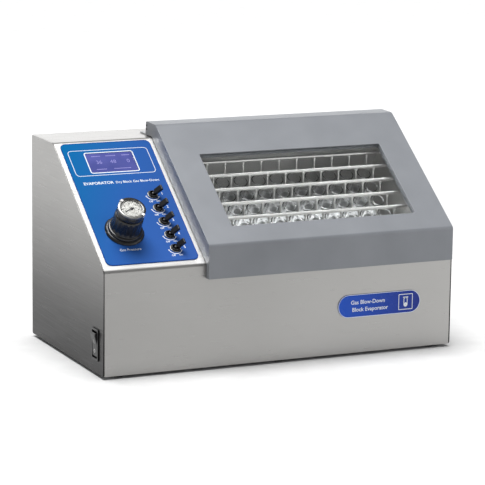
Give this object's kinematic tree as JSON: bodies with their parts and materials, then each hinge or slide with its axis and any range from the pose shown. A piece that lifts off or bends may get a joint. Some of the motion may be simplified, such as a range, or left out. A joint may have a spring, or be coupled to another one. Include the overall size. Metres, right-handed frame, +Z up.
{
  "type": "dry block gas blow-down evaporator",
  "caption": "Bench-top dry-block evaporator: sloped console with gauge and toggles, tilted tube block, hinged glass lid with gas nozzle bars.",
  "frame": {"origin": "bottom centre of the whole object, on the plane of the feet", "axes": "+X to the right as the user faces the front, +Y to the back, +Z up"},
  "size_m": [0.641, 0.3664, 0.3757],
  "materials": {
    "satin_stainless": "satin stainless sheet, grained",
    "lid_enamel": "smooth grey baked enamel, low gloss",
    "zinc_steel": "zinc-plated sheet",
    "bright_tube": "drawn bright stainless tube",
    "machined_aluminium": "machined, clear anodised",
    "brass": "machined brass",
    "black_plastic": "moulded, fine texture",
    "rubber": "moulded rubber",
    "overlay_print": "printed polyester label, satin",
    "badge_print": "domed printed badge",
    "display_face": "graphic display, white on violet-blue",
    "clear_glass": "clear toughened glass",
    "circuit_board": "green solder mask"
  },
  "bodies": {
    "root": {"left_side_panel": "satin_stainless", "right_side_panel": "satin_stainless", "body_cover": "satin_stainless", "back_panel": "satin_stainless", "chamber_tub": "satin_stainless", "exhaust_collar": "satin_stainless", "base_pan": "zinc_steel", "console_partition": "zinc_steel", "power_supply": "zinc_steel", "hinge_leaf_fixed_left": "zinc_steel", "hinge_leaf_fixed_right": "zinc_steel", "gauge_lens": "clear_glass", "foot_front_left": "rubber", "foot_front_middle": "rubber", "foot_front_right": "rubber", "foot_rear_left": "rubber", "foot_rear_middle": "rubber", "foot_rear_right": "rubber", "heater_plate": "machined_aluminium", "regulator_body": "machined_aluminium", "block_row_1": "machined_aluminium", "block_row_2": "machined_aluminium", "block_row_3": "machined_aluminium", "block_row_4": "machined_aluminium", "block_row_5": "machined_aluminium", "gauge_bezel": "bright_tube", "hinge_pin_left": "bright_tube", "hinge_pin_right": "bright_tube", "regulator_nut": "black_plastic", "gauge_case": "black_plastic", "toggle_valves": "black_plastic", "switch_bezel": "black_plastic", "power_inlet": "black_plastic", "overlay_panel": "overlay_print", "front_badge": "badge_print", "display_module": "display_face", "control_board": "circuit_board", "gas_inlet_fitting": "brass"},
    "lid": {"lid_cover": "lid_enamel", "window_glass": "clear_glass", "window_retainer": "lid_enamel", "lid_liner": "satin_stainless", "lid_gasket": "rubber", "gas_feed_block": "machined_aluminium", "bar_bracket": "satin_stainless", "hinge_leaf_lid_left": "zinc_steel", "hinge_leaf_lid_right": "zinc_steel", "nozzle_bar_1": "bright_tube", "nozzle_bar_2": "bright_tube", "nozzle_bar_3": "bright_tube", "nozzle_bar_4": "bright_tube", "nozzle_bar_5": "bright_tube"},
    "regulator_knob": {"regulator_knob": "black_plastic"},
    "gauge_needle": {"gauge_needle": "black_plastic"},
    "power_rocker": {"power_rocker": "black_plastic"},
    "toggle_lever_1": {"toggle_lever_1": "black_plastic"},
    "toggle_lever_2": {"toggle_lever_2": "black_plastic"},
    "toggle_lever_3": {"toggle_lever_3": "black_plastic"},
    "toggle_lever_4": {"toggle_lever_4": "black_plastic"},
    "toggle_lever_5": {"toggle_lever_5": "black_plastic"}
  },
  "joints": [
    {"name": "lid_hinge", "type": "hinge", "parent": "root", "child": "lid", "pos_m": [0.00295, 0.0934, 0.3558], "axis": [-1, 0, 0], "range_deg": [0, 100]},
    {"name": "toggle_1", "type": "hinge", "parent": "root", "child": "toggle_lever_1", "pos_m": [-0.17805, -0.04552, 0.27475], "axis": [0, -0.8028, -0.5963], "range_deg": [0, 76]},
    {"name": "toggle_2", "type": "hinge", "parent": "root", "child": "toggle_lever_2", "pos_m": [-0.17805, -0.06977, 0.25675], "axis": [0, -0.8028, -0.5963], "range_deg": [0, 76]},
    {"name": "toggle_3", "type": "hinge", "parent": "root", "child": "toggle_lever_3", "pos_m": [-0.17805, -0.09401, 0.23874], "axis": [0, -0.8028, -0.5963], "range_deg": [0, 76]},
    {"name": "toggle_4", "type": "hinge", "parent": "root", "child": "toggle_lever_4", "pos_m": [-0.17805, -0.11826, 0.22073], "axis": [0, -0.8028, -0.5963], "range_deg": [0, 76]},
    {"name": "toggle_5", "type": "hinge", "parent": "root", "child": "toggle_lever_5", "pos_m": [-0.17805, -0.1425, 0.20273], "axis": [0, -0.8028, -0.5963], "range_deg": [0, 76]},
    {"name": "regulator_turn", "type": "hinge", "parent": "root", "child": "regulator_knob", "pos_m": [-0.25255, -0.11639, 0.24305], "axis": [0, 0.5963, -0.8028], "range_deg": [0, 900]},
    {"name": "gauge_sweep", "type": "hinge", "parent": "root", "child": "gauge_needle", "pos_m": [-0.25255, -0.13488, 0.26793], "axis": [0, 0.5963, -0.8028], "range_deg": [0, 270]},
    {"name": "power_rock", "type": "hinge", "parent": "root", "child": "power_rocker", "pos_m": [-0.31085, -0.1371, 0.0525], "axis": [0, 1, 0], "range_deg": [0, 14]}
  ],
  "couplings": [
    {"joint": "gauge_sweep", "follows": "regulator_turn", "ratio": 0.3}
  ]
}
